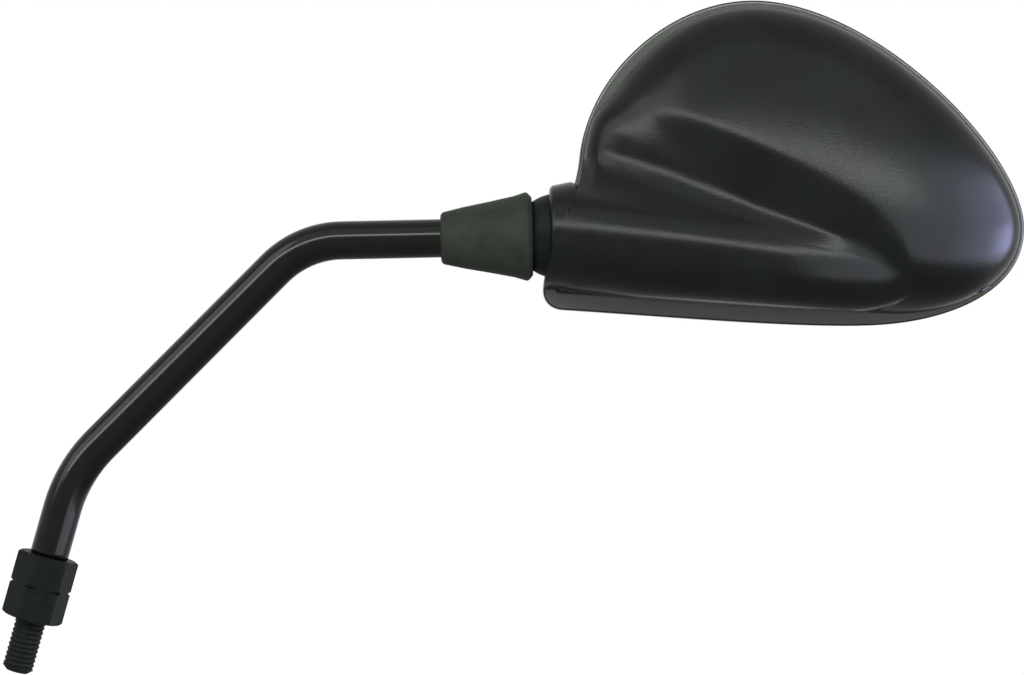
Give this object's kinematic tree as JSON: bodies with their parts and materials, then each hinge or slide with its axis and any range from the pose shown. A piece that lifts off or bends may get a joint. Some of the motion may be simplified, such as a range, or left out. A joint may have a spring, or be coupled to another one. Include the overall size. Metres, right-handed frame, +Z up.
{
  "type": "motorcycle mirror",
  "caption": "Left-hand motorcycle mirror: sculpted teardrop head with convex glass on a ball joint, rubber boot, bent round stem, lock nut and hex adapter with a stud.",
  "frame": {"origin": "on the stud's axis, where the adapter's seat face meets the stud", "axes": "+Z up along the stud into the stem, +X from the stud towards the head, +Y towards the glass"},
  "size_m": [0.2306, 0.042, 0.2221],
  "materials": {
    "textured_abs": "fine moulded texture",
    "gloss_paint": "gloss black paint on steel",
    "black_steel": "black finish on steel",
    "soft_rubber": "matte",
    "nylon": "natural nylon",
    "zinc_steel": "zinc plated",
    "bright_steel": "bright drawn or ground",
    "silvered_glass": "silvered on the back, convex",
    "pad_rubber": "adhesive pad",
    "carrier_plastic": "moulded"
  },
  "bodies": {
    "mount": {"adapter": "black_steel", "lock_nut": "black_steel"},
    "arm": {"stem": "gloss_paint", "ball": "bright_steel", "boot": "soft_rubber"},
    "liner": {"ball_liner": "nylon"},
    "cup": {"pressure_cup": "nylon"},
    "head": {"socket_sleeve": "black_steel", "end_cap": "zinc_steel", "pressure_spring": "bright_steel", "saddle_clamp": "zinc_steel", "clamp_washers": "zinc_steel", "clamp_screws": "zinc_steel", "housing": "textured_abs", "bezel": "textured_abs", "mirror_glass": "silvered_glass", "gasket": "soft_rubber", "adhesive_pad": "pad_rubber", "glass_carrier": "carrier_plastic", "carrier_screws": "zinc_steel"}
  },
  "joints": [
    {"name": "stem_swivel", "type": "hinge", "parent": "mount", "child": "arm", "pos_m": [0, 0, 0.0169], "axis": [0, 0, 1], "range_deg": [-180, 180]},
    {"name": "head_pan", "type": "hinge", "parent": "arm", "child": "liner", "pos_m": [0.10461, 0, 0.13269], "axis": [-0.2907, 0, 0.9568], "range_deg": [-10, 10]},
    {"name": "head_tilt", "type": "hinge", "parent": "liner", "child": "cup", "pos_m": [0.10461, 0, 0.13269], "axis": [0, 1, 0], "range_deg": [-10, 10]},
    {"name": "head_roll", "type": "hinge", "parent": "cup", "child": "head", "pos_m": [0.10461, 0, 0.13269], "axis": [0.9568, 0, 0.2907], "range_deg": [-20, 20]}
  ]
}
